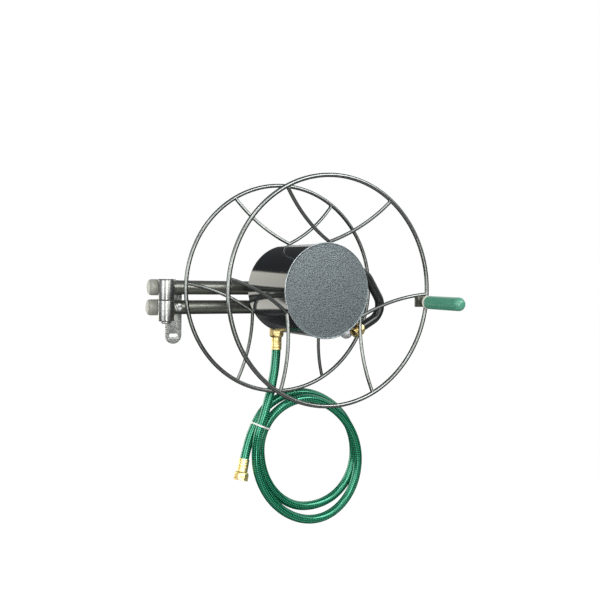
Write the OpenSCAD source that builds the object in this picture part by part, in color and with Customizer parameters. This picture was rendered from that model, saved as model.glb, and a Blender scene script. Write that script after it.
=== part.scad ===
/* [Reel flanges] */
// Diameter of each flange ring, over its wire
ring_d = 508; // [460:2:560]
// Thickness of the ring wire
ring_wire = 9.5; // [7:0.5:12]
// Thickness of the spoke wire
spoke_wire = 8; // [6:0.5:10]
// Distance between the middles of the two rings
ring_gap = 242; // [232:2:270]
// Half of the angle that one V of spoke wire takes up on the ring
spoke_spread = 32; // [26:1:36]
// How far the middle of a spoke leg bows away from a straight line
spoke_bow = 10; // [4:1:16]
/* [Drum] */
// Outer diameter of the drum shell
shell_d = 209; // [190:1:225]
// Wall of the drum shell
shell_wall = 1.5; // [1:0.5:3]
// Length of the drum, over its front and rear discs
drum_length = 190; // [180:1:200]
// Thickness of the front, rear and inner discs
disc_t = 3; // [2:0.5:4]
// How far the front disc stands out past the shell
disc_lip = 1.9; // [1:0.1:4]
/* [Axle and water way] */
// Outer diameter of the hollow axle
axle_d = 26.7; // [24:0.1:28]
// Bore of the hollow axle and its fittings
axle_bore = 16; // [12:0.5:18]
// Running clearance on the radius between the axle and its bushes
axle_play = 0.06; // [0.02:0.01:0.1]
// Outer diameter of the steel water pipe
pipe_d = 21.3; // [19:0.1:23]
// Bore of the steel water pipe
pipe_bore = 15.8; // [12:0.1:17]
// Depth of the outlet pipe behind the face of the front disc
outlet_depth = 22.5; // [20:0.5:40]
/* [Wall rail and hinge] */
// Outer diameter of the rail tube and the arm tube
tube_d = 33.4; // [30:0.1:36]
// Wall of the rail tube and the arm tube
tube_wall = 2.5; // [1.5:0.5:4]
// Distance between the two wall plates, middle to middle
plate_pitch = 488; // [460:2:500]
// Distance between the two slots of one wall plate
slot_pitch = 115; // [105:1:125]
// Width of a wall plate
plate_w = 40; // [34:1:44]
// Thickness of a wall plate
plate_t = 4.8; // [3:0.1:6]
// Height of a slot in a wall plate
slot_h = 8.6; // [6:0.1:10]
// Length of a slot in a wall plate, end to end
slot_l = 22; // [14:1:26]
// Outer diameter of the hinge barrels
barrel_d = 38; // [36:1:42]
// Diameter of the hinge pin
pin_d = 19; // [14:0.5:22]
// Length of each hinge barrel
barrel_l = 46; // [40:1:50]
// Distance from the hinge pin to the middle of the reel
arm_reach = 283; // [276:1:320]
/* [Crank grip] */
// Diameter of the grip
grip_d = 30; // [24:1:34]
// Length of the grip
grip_l = 119; // [100:1:150]
// Thickness of the rod that the grip turns on
crank_rod_d = 10; // [8:0.5:12]
/* [Leader hose] */
// Outer diameter of the leader hose
hose_d = 22; // [18:0.5:23]
/* [Hidden] */
$fn = 96;

steel = "slategray";
dark_steel = "dimgray";
brass = "goldenrod";

ring_r = (ring_d - ring_wire) / 2;
shell_r = shell_d / 2;
disc_r = shell_r + disc_lip;
pipe_r = pipe_d / 2;
axle_r = axle_d / 2;
bush_r = axle_r + axle_play;
tube_r = tube_d / 2;
barrel_r = barrel_d / 2;

// The wall face is the plane Y = 0, and the room is at negative Y.
rail_gap = 47;
rail_y = -(plate_t + tube_r);
arm_y = rail_y - 8;
hinge_y = arm_y - 25;
hinge_out = 36;
hinge_x = -(plate_pitch / 2 + hinge_out);
reel_x = hinge_x + arm_reach;
reel_z = slot_pitch / 2;
arm_z = reel_z;
rail_z = reel_z - rail_gap;
tee_r = 15.3;
tee_back = 152;
tee_y = arm_y - tube_r - tee_r + 0.3;
reel_y = tee_y - tee_back;

// Planes square to the reel axis, measured from the middle of the reel, with the room at negative Y.
front_face = -drum_length / 2 + 2.5;
front_back = front_face + disc_t;
rear_face = front_face + drum_length;
outlet_y = front_face + outlet_depth;
front_ring_y = -ring_gap / 2;
rear_ring_y = ring_gap / 2;
apex_inset = 4.2;
front_apex_y = front_back + apex_inset;
rear_apex_y = rear_face - apex_inset;
apex_r = shell_r + spoke_wire / 2 - 0.4;
front_turn = -3.3;
rear_turn = -0.5;

hub_r = 21;
hub_bore = 17.4;
inner_y = outlet_y + 20;
bush_l = 20;
bush_flange = 2;
collar_half = 13;
clip_t = 1.2;
axle_front = outlet_y - collar_half - 0.4 - clip_t - 1.2;

grip_inset = 13.25;
grip_x = ring_r - grip_inset;
grip_z = -24;
crank_block = [31, 12, 24];
block_shift = [-4.5, -4.5, 1.2];
grip_base_y = front_ring_y - 22;

coil_sides = 8;
loop_rings = 24;

module along_y(y0, y1, r) {
    translate([0, y0, 0]) rotate([-90, 0, 0]) cylinder(h = y1 - y0, r = r);
}

module along_x(x0, x1, r) {
    translate([x0, 0, 0]) rotate([0, 90, 0]) cylinder(h = x1 - x0, r = r);
}

module pipe_y(y0, y1, outer, inner) {
    difference() {
        along_y(y0, y1, outer);
        along_y(y0 - 1, y1 + 1, inner);
    }
}

module at_reel() {
    translate([reel_x, reel_y, reel_z]) children();
}

module at_plate(side) {
    translate([side * plate_pitch / 2, 0, 0]) children();
}

// Wall rail: a round tube along the wall, carried by two slotted plates.
tube_past = 29;
rail_left = hinge_x - tube_past;
rail_right = plate_pitch / 2 + tube_past;
cap_wall = 2;
cap_end = 6;
cap_reach = 6;
cap_round = 11;
cap_r = tube_r + cap_wall;
bolt_r = 4;

module tube_along(x0, x1, y, z) {
    translate([0, y, z]) difference() {
        along_x(x0, x1, tube_r);
        along_x(x0 - 1, x1 + 1, tube_r - tube_wall);
    }
}

module barrel_solid() {
    translate([hinge_x, hinge_y, rail_z]) cylinder(h = 400, r = barrel_r, center = true);
}

module wall_rail() {
    color(dark_steel) difference() {
        tube_along(rail_left, rail_right, rail_y, rail_z);
        barrel_solid();
        for (side = [-1, 1]) at_plate(side) translate([0, 0, rail_z]) along_y(-60, 1, bolt_r + 0.2);
    }
}

module end_cap(x, dir, y, z) {
    round_r = cap_r - cap_round;
    round_z = cap_end - cap_round;
    translate([x, y, z]) rotate([0, dir * 90, 0]) rotate_extrude() difference() {
        union() {
            translate([0, -cap_reach]) square([round_r, cap_reach + cap_end]);
            translate([0, -cap_reach]) square([cap_r, cap_reach + round_z]);
            intersection() {
                translate([round_r, round_z]) circle(r = cap_round);
                translate([round_r, -cap_reach]) square([cap_round, cap_reach + cap_end]);
            }
        }
        translate([-1, -cap_reach - 1]) square([tube_r + 1, cap_reach + 1]);
    }
}

module cap_pair(x0, x1, y, z) {
    color("darkgray") difference() {
        union() {
            end_cap(x0, -1, y, z);
            end_cap(x1, 1, y, z);
        }
        barrel_solid();
    }
}

module rail_caps() {
    cap_pair(rail_left, rail_right, rail_y, rail_z);
}

// A wall plate: a flat strip with round ends and two level slots.
module wall_plate(side) {
    color("gray") at_plate(side) difference() {
        union() {
            translate([-plate_w / 2, -plate_t, -slot_pitch / 2]) cube([plate_w, plate_t, slot_pitch]);
            for (z = [-1, 1]) translate([0, 0, z * slot_pitch / 2]) along_y(-plate_t, 0, plate_w / 2);
        }
        for (z = [-1, 1]) translate([0, 0, z * slot_pitch / 2]) {
            for (x = [-1, 1]) translate([x * (slot_l - slot_h) / 2, 0, 0]) along_y(-plate_t - 1, 1, slot_h / 2);
            translate([-(slot_l - slot_h) / 2, -plate_t - 1, -slot_h / 2]) cube([slot_l - slot_h, plate_t + 2, slot_h]);
        }
        translate([0, 0, rail_z]) along_y(-plate_t - 1, 1, bolt_r);
    }
}

module plate_bolts() {
    head_y = rail_y - tube_r;
    color("silver") for (side = [-1, 1]) at_plate(side) translate([0, 0, rail_z]) {
        difference() {
            union() {
                along_y(head_y - 2, head_y + 6, 9.5);
                translate([0, head_y - 7.5, 0]) rotate([-90, 0, 0]) cylinder(h = 5.6, r = 7.5, $fn = 6);
            }
            translate([0, rail_y, 0]) along_x(-30, 30, tube_r);
        }
        along_y(head_y - 2, 0, bolt_r);
    }
}

// Hinge: the lower barrel is fixed to the rail, and the upper one swings with the arm.
split_z = rail_z + 18;
washer_t = 1;
lower_top = split_z - washer_t / 2;
upper_bottom = split_z + washer_t / 2;
hinge_bush_wall = 1.5;
hinge_bush_l = 12;
pin_head_t = 1.6;

module at_hinge(z) {
    translate([hinge_x, hinge_y, z]) children();
}

module lower_barrel() {
    color("gray") difference() {
        at_hinge(lower_top - barrel_l - 2) cylinder(h = barrel_l + 2, r = barrel_r);
        at_hinge(lower_top - barrel_l - 3) cylinder(h = barrel_l + 4, r = pin_d / 2 + 0.03);
    }
}

module upper_barrel() {
    color("gray") difference() {
        at_hinge(upper_bottom) cylinder(h = barrel_l, r = barrel_r);
        at_hinge(upper_bottom - 1) cylinder(h = barrel_l + 2, r = pin_d / 2 + 0.5);
        for (z = [upper_bottom - 1, upper_bottom + barrel_l - hinge_bush_l]) {
            at_hinge(z) cylinder(h = hinge_bush_l + 1, r = pin_d / 2 + hinge_bush_wall);
        }
    }
}

module hinge_bushes() {
    color("ivory") for (z = [upper_bottom, upper_bottom + barrel_l - hinge_bush_l]) at_hinge(z) difference() {
        cylinder(h = hinge_bush_l, r = pin_d / 2 + hinge_bush_wall);
        translate([0, 0, -1]) cylinder(h = hinge_bush_l + 2, r = pin_d / 2 + 0.05);
    }
}

module thrust_washer() {
    color("black") at_hinge(lower_top) difference() {
        cylinder(h = washer_t - 0.1, r = barrel_r - 1);
        translate([0, 0, -1]) cylinder(h = washer_t + 2, r = pin_d / 2 + 0.03);
    }
}

module hinge_pin() {
    bottom = lower_top - barrel_l - 8;
    top = upper_bottom + barrel_l;
    color(dark_steel) difference() {
        union() {
            at_hinge(bottom) cylinder(h = top - bottom + 0.2, r = pin_d / 2);
            at_hinge(top + 0.2) cylinder(h = pin_head_t, r = barrel_r);
        }
        at_hinge(bottom + 2.4) difference() {
            cylinder(h = 1.6, r = pin_d / 2 + 1);
            translate([0, 0, -1]) cylinder(h = 4, r = pin_d / 2 - 1.5);
        }
    }
}

module hinge_clip() {
    color("silver") at_hinge(lower_top - barrel_l - 8 + 2.6) difference() {
        cylinder(h = 1.2, r = pin_d / 2 + 4);
        translate([0, 0, -1]) cylinder(h = 4, r = pin_d / 2 - 1.5);
        translate([-4, 0, -1]) cube([8, 30, 4]);
    }
}

// Swing arm: one tube, with the axle's water inlet tee welded to its front.
arm_past = 34;
arm_left = hinge_x - tube_past;
arm_right = reel_x + arm_past;

module swing_tube() {
    color(dark_steel) difference() {
        tube_along(arm_left, arm_right, arm_y, arm_z);
        barrel_solid();
    }
}

module arm_caps() {
    cap_pair(arm_left, arm_right, arm_y, arm_z);
}

tee_front = tee_back - 18;
axle_seat = tee_back - 2;
branch_drop = 30;
inlet_z = -84;
inlet_drop = 27;

module inlet_tee() {
    color(steel) difference() {
        at_reel() difference() {
            union() {
                along_y(tee_front, arm_y - reel_y, tee_r);
                translate([0, tee_back, -branch_drop]) cylinder(h = branch_drop, r = pipe_r + 3.2);
                translate([0, tee_back, -branch_drop]) cylinder(h = 6, r = pipe_r + 4.4);
                along_y(tee_front, tee_front + 5, tee_r + 1.2);
            }
            along_y(tee_front - 1, axle_seat, axle_r);
            along_y(axle_seat - 10, tee_back + 8, axle_bore / 2);
            translate([0, tee_back, -branch_drop - 1]) cylinder(h = branch_drop, r = axle_bore / 2);
            translate([0, tee_back, -branch_drop - 1]) cylinder(h = 15, r = pipe_r);
        }
        translate([0, arm_y, arm_z]) along_x(-60, 60, tube_r);
    }
}

module axle() {
    clip_y = axle_front + 1.2;
    color("silver") at_reel() difference() {
        along_y(axle_front, axle_seat, axle_r);
        along_y(outlet_y - 6, axle_seat + 1, axle_bore / 2);
        for (a = [0:90:270]) rotate([0, a, 0]) translate([0, outlet_y, 0]) cylinder(h = 20, r = 4);
        pipe_y(clip_y, clip_y + clip_t + 0.1, axle_r + 1, axle_r - 1.6);
    }
}

module axle_clip() {
    clip_y = axle_front + 1.25;
    color("silver") at_reel() difference() {
        pipe_y(clip_y, clip_y + clip_t, axle_r + 4, axle_r - 1.6);
        translate([-5, clip_y - 1, 0]) cube([10, clip_t + 2, 30]);
    }
}

module at_inlet(z) {
    translate([reel_x, tee_y, reel_z + z]) children();
}

module inlet_pipe() {
    color(steel) at_inlet(inlet_z) difference() {
        cylinder(h = -inlet_z - branch_drop + 14, r = pipe_r);
        translate([0, 0, -1]) cylinder(h = 100, r = pipe_bore / 2);
    }
}

thread_r = 13.2;

module inlet_fitting() {
    color(brass) at_inlet(inlet_z - inlet_drop) difference() {
        union() {
            cylinder(h = 17, r = thread_r);
            translate([0, 0, 17]) cylinder(h = 2, r = 12);
            translate([0, 0, 19]) cylinder(h = 10, r = 16.5, $fn = 6);
            translate([0, 0, 29]) cylinder(h = 8, r = pipe_r + 2.2);
        }
        translate([0, 0, -1]) cylinder(h = 60, r = pipe_bore / 2);
        translate([0, 0, 27]) cylinder(h = 20, r = pipe_r);
    }
}

// Drum: a rolled shell with a front disc, a rear disc and an inner disc that steadies the hub tube.
module shell_solid() {
    at_reel() along_y(front_back, rear_face, shell_r);
}

module drum_shell() {
    color("darkslategray") difference() {
        at_reel() pipe_y(front_back, rear_face, shell_r, shell_r - shell_wall);
        at_station(outlet_exit) translate([0, 0, -40]) cylinder(h = 76, r = pipe_r + 2.5);
    }
}

module front_disc() {
    color(steel) at_reel() along_y(front_face, front_back, disc_r);
}

module rear_disc() {
    color(dark_steel) at_reel() pipe_y(rear_face - disc_t, rear_face, shell_r - shell_wall, hub_r);
}

module inner_disc() {
    color(dark_steel) at_reel() difference() {
        pipe_y(inner_y, inner_y + disc_t, shell_r - shell_wall, hub_r);
        for (a = [0:60:300]) rotate([0, a, 0]) translate([0, 0, (hub_r + shell_r) / 2]) {
            along_y(inner_y - 1, inner_y + disc_t + 1, 22);
        }
    }
}

module hub_tube() {
    color(steel) at_reel() pipe_y(inner_y - 4, rear_face + 2, hub_r, hub_bore);
}

module hub_bush(y, dir) {
    color("ivory") at_reel() difference() {
        union() {
            along_y(min(y, y + dir * bush_l), max(y, y + dir * bush_l), hub_bore);
            along_y(min(y, y - dir * bush_flange), max(y, y - dir * bush_flange), hub_r);
        }
        along_y(-200, 200, bush_r);
    }
}

module water_collar() {
    color(brass) at_reel() difference() {
        union() {
            along_y(outlet_y - collar_half, outlet_y + collar_half, hub_r);
            outlet_frame() cylinder(h = hub_r + 4, r = pipe_r + 2.2);
        }
        along_y(-200, 200, bush_r);
        along_y(outlet_y - 4.5, outlet_y + 4.5, hub_bore);
        outlet_frame() cylinder(h = 40, r = pipe_bore / 2);
        outlet_frame() translate([0, 0, hub_r]) cylinder(h = 40, r = pipe_r);
        for (s = [-1, 1]) pipe_y(outlet_y + s * 9 - 1.8, outlet_y + s * 9 + 1.8, axle_r + 3.4, axle_r - 1);
    }
}

module collar_seals() {
    color("black") at_reel() for (s = [-1, 1]) translate([0, outlet_y + s * 9, 0]) rotate([90, 0, 0]) {
        rotate_extrude() translate([axle_r + 1.75, 0]) circle(r = 1.62, $fn = 24);
    }
}

// Outlet pipe: straight runs and bends, all in one plane square to the reel axis.
// Each step is [length] for a straight run, or [bend radius, angle] for a bend to the right.
outlet_lean = 51;
outlet_start = hub_r;
outlet_steps = [[46], [38, 61], [10], [50, 35], [45], [38, 94], [36]];
bend_step = 8;
exit_step = 3;

module outlet_frame() {
    translate([0, outlet_y, 0]) rotate([0, outlet_lean, 0]) children();
}

// Stations along the steps: each one is [x, z, heading], with the heading turned from +Z towards +X.
function stations(steps, from, i = 0) = i >= len(steps) ? [] : let (
    s = steps[i],
    h = from[2],
    n = len(s) == 1 ? 1 : ceil(s[1] / bend_step),
    centre = [from[0] + s[0] * cos(h), from[1] - s[0] * sin(h)],
    run = len(s) == 1
        ? [[from[0] + s[0] * sin(h), from[1] + s[0] * cos(h), h]]
        : [for (k = [1:n]) let (a = h + s[1] * k / n) [centre[0] - s[0] * cos(a), centre[1] + s[0] * sin(a), a]]
) concat(run, stations(steps, run[len(run) - 1], i + 1));

outlet_first = [0, outlet_start, 0];
outlet_stations = concat([outlet_first], stations(outlet_steps, outlet_first));
outlet_end = outlet_stations[len(outlet_stations) - 1];
outlet_exit = let (s = stations([for (i = [0:exit_step - 1]) outlet_steps[i]], outlet_first)) s[len(s) - 1];

module at_station(s) {
    at_reel() outlet_frame() translate([s[0], 0, s[1]]) rotate([0, s[2], 0]) children();
}

function station_ring(s, r, sides) = [for (k = [0:sides - 1]) let (a = 360 * k / sides) [
    s[0] + r * cos(a) * cos(s[2]), r * sin(a), s[1] - r * cos(a) * sin(s[2])
]];

module swept_pipe(list, outer, inner, sides) {
    n = len(list);
    points = concat(
        [for (s = list) each station_ring(s, outer, sides)],
        [for (s = list) each station_ring(s, inner, sides)]
    );
    bore = n * sides;
    walls = [for (i = [0:n - 2], k = [0:sides - 1]) let (
        a = i * sides + k,
        b = i * sides + (k + 1) % sides
    ) each [
        [a, a + sides, b], [b, a + sides, b + sides],
        [bore + a, bore + b, bore + a + sides], [bore + b, bore + b + sides, bore + a + sides]
    ]];
    last = (n - 1) * sides;
    ends = [for (k = [0:sides - 1]) let (j = (k + 1) % sides) each [
        [k, j, bore + k], [j, bore + j, bore + k],
        [last + k, bore + last + k, last + j], [last + j, bore + last + k, bore + last + j]
    ]];
    polyhedron(points = points, faces = concat(walls, ends));
}

module outlet_pipe() {
    color(dark_steel) at_reel() outlet_frame() swept_pipe(outlet_stations, pipe_r, pipe_bore / 2, 20);
}

module outlet_fitting() {
    color(brass) at_station(outlet_end) difference() {
        union() {
            translate([0, 0, -3]) cylinder(h = 3.5, r = pipe_r + 2);
            translate([0, 0, 0.5]) cylinder(h = 9, r = 15.6, $fn = 6);
            translate([0, 0, 9.5]) cylinder(h = 2, r = 12);
            translate([0, 0, 11.5]) cylinder(h = 12, r = thread_r);
        }
        translate([0, 0, -9]) cylinder(h = 40, r = pipe_bore / 2 - 0.5);
        translate([0, 0, -9]) cylinder(h = 9, r = pipe_r);
    }
}

// Flanges: a ring of round wire and three bent V spokes, each with two bowed legs.
module ring(y) {
    at_reel() translate([0, y, 0]) rotate([90, 0, 0]) {
        rotate_extrude($fn = 180) translate([ring_r, 0]) circle(r = ring_wire / 2, $fn = 32);
    }
}

module leg(apex_y, ring_y) {
    foot = [0, apex_y, apex_r];
    tip = [ring_r * sin(spoke_spread), ring_y, ring_r * cos(spoke_spread)];
    chord = tip - foot;
    along = unit(chord);
    out = unit(cross([0, 1, 0], along));
    side = cross(along, out);
    bend_r = (chord * chord / 4 + spoke_bow * spoke_bow) / (2 * spoke_bow);
    half = asin(norm(chord) / 2 / bend_r);
    middle = (foot + tip) / 2 - (bend_r - spoke_bow) * out;
    multmatrix([
        [along[0], out[0], side[0], middle[0]],
        [along[1], out[1], side[1], middle[1]],
        [along[2], out[2], side[2], middle[2]],
        [0, 0, 0, 1]
    ]) rotate([0, 0, 90 - half]) rotate_extrude(angle = 2 * half, $fn = 180) {
        translate([bend_r, 0]) circle(r = spoke_wire / 2, $fn = 32);
    }
    translate(foot) sphere(r = spoke_wire / 2, $fn = 32);
}

module spoke(apex_y, ring_y, turn) {
    color(steel) difference() {
        at_reel() rotate([0, -turn, 0]) {
            leg(apex_y, ring_y);
            mirror([1, 0, 0]) leg(apex_y, ring_y);
        }
        ring(ring_y);
        shell_solid();
    }
}

module front_spoke(turn) { spoke(front_apex_y, front_ring_y, front_turn + turn); }
module rear_spoke(turn) { spoke(rear_apex_y, rear_ring_y, rear_turn + turn); }

// Crank: a block welded to the front ring, a fixed rod, and a grip that turns on it.
module crank_bracket() {
    color("gray") difference() {
        at_reel() translate([grip_x, front_ring_y, grip_z]) difference() {
            translate(block_shift) cube(crank_block, center = true);
            along_y(-30, 20, crank_rod_d / 2);
        }
        ring(front_ring_y);
        front_spoke(-120);
    }
}

module crank_rod() {
    color("silver") at_reel() translate([grip_x, 0, grip_z]) {
        along_y(grip_base_y - grip_l + 16, front_ring_y + 6, crank_rod_d / 2);
        along_y(grip_base_y - grip_l + 13, grip_base_y - grip_l + 16, crank_rod_d / 2 + 2.4);
    }
}

sleeve_r = 8;

module grip_sleeve() {
    color("silver") at_reel() translate([grip_x, 0, grip_z]) {
        pipe_y(grip_base_y - grip_l + 16.3, grip_base_y - 0.4, sleeve_r, crank_rod_d / 2 + 0.1);
    }
}

module grip_profile() {
    difference() {
        union() {
            translate([0, 7]) square([grip_d / 2, grip_l - 7 - 13]);
            square([grip_d / 2 - 7, grip_l]);
            translate([grip_d / 2 - 7, 7]) circle(r = 7);
            translate([0, grip_l - 13]) square([grip_d / 2 - 13, 13]);
            translate([grip_d / 2 - 13, grip_l - 13]) circle(r = 13);
        }
        translate([-50, -10]) square([50, grip_l + 20]);
        translate([grip_d / 2 - 13, grip_l - 13]) difference() {
            square([20, 20]);
            circle(r = 13);
        }
    }
}

module grip() {
    color("seagreen") at_reel() translate([grip_x, grip_base_y, grip_z]) rotate([90, 0, 0]) difference() {
        rotate_extrude() grip_profile();
        translate([0, 0, -1]) cylinder(h = grip_l - 7, r = sleeve_r);
    }
}

// Leader hose: a drop from the inlet, two loops that hang from a tie, and a tail with a coupling.
hose_r = hose_d / 2;
coil_x = 91;
coil_z = -367;
coil_half_w = 147.5;
coil_half_h = 161.5;
coil_lean = 20;
coil_start = 165;
coil_end = 810;
coil_front = -75;
coil_back = -52;
ferrule_l = 30;
ferrule_inset = 22;
nut_l = 21;
nut_back = 5;
neck_l = nut_back + 0.3;
flange_l = 2;
washer_l = 2.6;
coupling_depth = ferrule_l - ferrule_inset + neck_l + flange_l + washer_l + 0.1;
leader_top = reel_z + inlet_z - inlet_drop - coupling_depth;
tail_end = [-83, -60, -381];

function unit(v) = v / norm(v);
function blend(a, from, to) = let (t = min(1, max(0, (a - from) / (to - from)))) t * t * (3 - 2 * t);

// The loops draw in on their second way round, and cross from the front to the back by the tie.
function coil_size(a) = 0.98 + 0.025 * blend(a, 230, 290) - 0.08 * blend(a, 350, 430)
    - 0.105 * blend(a, 435, 555) + 0.22 * blend(a, 628, 738) - 0.04 * blend(a, 740, 790);
function coil_point(a) = [
    coil_x + coil_size(a) * (coil_half_w * cos(a) - coil_lean * sin(a)),
    coil_front + (coil_back - coil_front) * blend(a, 450, 530),
    coil_z + coil_half_h * coil_size(a) * sin(a)
];
coil_steps = ceil(loop_rings * (coil_end - coil_start) / 360);
coil_path = [for (k = [0:coil_steps]) coil_point(coil_start + (coil_end - coil_start) * k / coil_steps)];

drop_path = [
    [reel_x, tee_y, leader_top], [reel_x, tee_y, leader_top - 24], [1, -62, -122], [-3, -64, -148], [-9, -67, -172],
    [-16, -71, -196], [-25, -75, -220], [-34, -78, -246], [-43, -79, -272], [-51, -78, -298], coil_path[0]
];
tail_path = [
    coil_path[coil_steps], [51, coil_back, -207], [31, coil_back, -211], [5, coil_back, -222], [-15, coil_back, -235],
    [-30, coil_back, -250], [-42, coil_back, -268], [-51, coil_back, -286], [-59, coil_back, -304], [-66, -53, -324],
    [-73, -55, -346], [-78.5, -57.5, -364], tail_end
];
tail_way = unit(tail_end - tail_path[len(tail_path) - 2]);

function path_ring(path, i, r, sides) = let (
    t = unit(path[min(i + 1, len(path) - 1)] - path[max(i - 1, 0)]),
    u = unit(cross(t, [0, 1, 0])),
    v = cross(u, t)
) [for (k = [0:sides - 1]) path[i] + r * (cos(360 * k / sides) * u + sin(360 * k / sides) * v)];

module hose_along(path) {
    n = len(path);
    points = [for (i = [0:n - 1]) each path_ring(path, i, hose_r, coil_sides)];
    walls = [for (i = [0:n - 2], k = [0:coil_sides - 1]) let (
        a = i * coil_sides + k,
        b = i * coil_sides + (k + 1) % coil_sides
    ) each [[a, b, a + coil_sides], [b, b + coil_sides, a + coil_sides]]];
    last = (n - 1) * coil_sides;
    ends = [for (k = [1:coil_sides - 2]) each [[0, k + 1, k], [last, last + k, last + k + 1]]];
    color("green") polyhedron(points = points, faces = concat(walls, ends));
}

// Least clear gap between strands of the coil that are not neighbours along it.
apart = 6;
coil_gap = min([for (i = [0:coil_steps], j = [i + apart:1:coil_steps]) norm(coil_path[i] - coil_path[j])]) - hose_d;
echo(coil_gap_mm = coil_gap);
hose_length = let (all = concat(drop_path, coil_path, tail_path)) [for (
    i = 0, sum = 0;
    i < len(all);
    i = i + 1, sum = i < len(all) ? sum + norm(all[i] - all[i - 1]) : sum
) sum][len(all) - 1];
echo(hose_length_mm = hose_length);

module leader_drop() { hose_along(drop_path); }
module leader_coil() { hose_along(coil_path); }
module leader_tail() { hose_along(tail_path); }

// A hose coupling, from the hose's end face up: the ferrule grips the hose, its flange holds the nut,
// and a washer in the nut seals against the thread.
ferrule_r = hose_r + 1.8;
neck_r = 9.8;
nut_r = 17;
nut_seat = ferrule_l - ferrule_inset + 0.15;
washer_seat = coupling_depth;

module coupling_nut() {
    difference() {
        union() {
            translate([0, 0, nut_seat]) cylinder(h = 4, r1 = 14.5, r2 = nut_r);
            translate([0, 0, nut_seat + 4]) cylinder(h = nut_l - 4, r = nut_r);
            translate([0, 0, nut_seat + 7]) cylinder(h = nut_l - 9, r = nut_r + 1.3, $fn = 8);
        }
        translate([0, 0, nut_seat - 1]) cylinder(h = nut_l + 2, r = neck_r + 0.2);
        translate([0, 0, nut_seat + nut_back]) cylinder(h = nut_l, r = thread_r + 0.1);
        translate([0, 0, nut_seat + nut_back]) cylinder(h = washer_seat - nut_seat - nut_back, r = thread_r + 0.7);
    }
}

module coupling_ferrule() {
    difference() {
        union() {
            translate([0, 0, -ferrule_inset]) cylinder(h = ferrule_l, r = ferrule_r);
            translate([0, 0, ferrule_l - ferrule_inset]) cylinder(h = neck_l + 1, r = neck_r);
            translate([0, 0, ferrule_l - ferrule_inset + neck_l]) cylinder(h = flange_l, r = thread_r - 0.5);
        }
        translate([0, 0, -ferrule_inset - 1]) cylinder(h = ferrule_inset + 1.1, r = hose_r + 0.05);
        translate([0, 0, -1]) cylinder(h = ferrule_l + 10, r = 7);
    }
}

module coupling_washer() {
    translate([0, 0, ferrule_l - ferrule_inset + neck_l + flange_l + 0.05]) difference() {
        cylinder(h = washer_l, r = thread_r - 0.2);
        translate([0, 0, -1]) cylinder(h = washer_l + 2, r = 7.9);
    }
}

module at_leader_top() {
    translate([reel_x, tee_y, leader_top]) children();
}

module at_tail_end() {
    translate(tail_end) rotate([0, acos(tail_way[2]), atan2(tail_way[1], tail_way[0])]) children();
}

module leader_ferrule() {
    color(brass) at_leader_top() coupling_ferrule();
}

module leader_nut() {
    color(brass) at_leader_top() coupling_nut();
}

module end_ferrule() {
    color(brass) at_tail_end() coupling_ferrule();
}

module end_coupling() {
    color(brass) at_tail_end() coupling_nut();
}

module hose_washers() {
    color("black") {
        at_leader_top() coupling_washer();
        at_tail_end() coupling_washer();
    }
}

// A tie strap round the three strands that meet at the upper left of the loops.
tie_centre = [-36, -64, -281];
tie_lean = 23;
tie_t = 1.2;
tie_w = 4;

tie_gap = 0.8;
tie_points = [[-11.2, 12], [-9.4, -14.8], [15.8, 6.4]];
tie_turn = atan2(tie_points[1][1] - tie_points[0][1], tie_points[1][0] - tie_points[0][0]);

module tie_outline(grow) {
    offset(r = grow) polygon(tie_points);
}

module hose_tie() {
    color("white") translate(tie_centre) rotate([0, tie_lean, 0]) {
        translate([0, 0, -tie_w / 2]) linear_extrude(tie_w) difference() {
            tie_outline(hose_r + tie_t + tie_gap);
            tie_outline(hose_r + tie_gap);
        }
        translate(tie_points[0]) rotate([0, 0, tie_turn]) {
            translate([0, -hose_r - tie_gap - tie_t - 3, -tie_w / 2 - 0.8]) cube([6, 3.4, tie_w + 1.6]);
        }
    }
}

wall_rail();
rail_caps();
wall_plate(-1);  // wall_plate_left
wall_plate(1);  // wall_plate_right
plate_bolts();
lower_barrel();
hinge_pin();
hinge_clip();
thrust_washer();
hinge_bushes();
upper_barrel();
swing_tube();
arm_caps();
inlet_tee();
axle();
axle_clip();
inlet_pipe();
inlet_fitting();
drum_shell();
front_disc();
rear_disc();
inner_disc();
hub_tube();
hub_bush(inner_y - 4, 1);  // hub_bush_front
hub_bush(rear_face + 2, -1);  // hub_bush_rear
water_collar();
collar_seals();
color(steel) ring(front_ring_y);  // front_ring
color(steel) ring(rear_ring_y);  // rear_ring
front_spoke(0);  // front_spoke_top
front_spoke(120);  // front_spoke_left
front_spoke(-120);  // front_spoke_right
rear_spoke(0);  // rear_spoke_top
rear_spoke(120);  // rear_spoke_left
rear_spoke(-120);  // rear_spoke_right
outlet_pipe();
outlet_fitting();
crank_bracket();
crank_rod();
grip_sleeve();
grip();
leader_drop();
leader_coil();
leader_tail();
leader_nut();
leader_ferrule();
end_ferrule();
end_coupling();
hose_tie();
hose_washers();
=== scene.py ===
# Wall-mounted hose reel: rolled drum between two wire flanges, on an arm that swings out from a wall rail,
# with a leader hose coiled below it. Sizes are in mm in the frame of the solids, and the scene is in metres.
import math
import bpy
import bmesh
import numpy as np
from mathutils import Matrix


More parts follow.
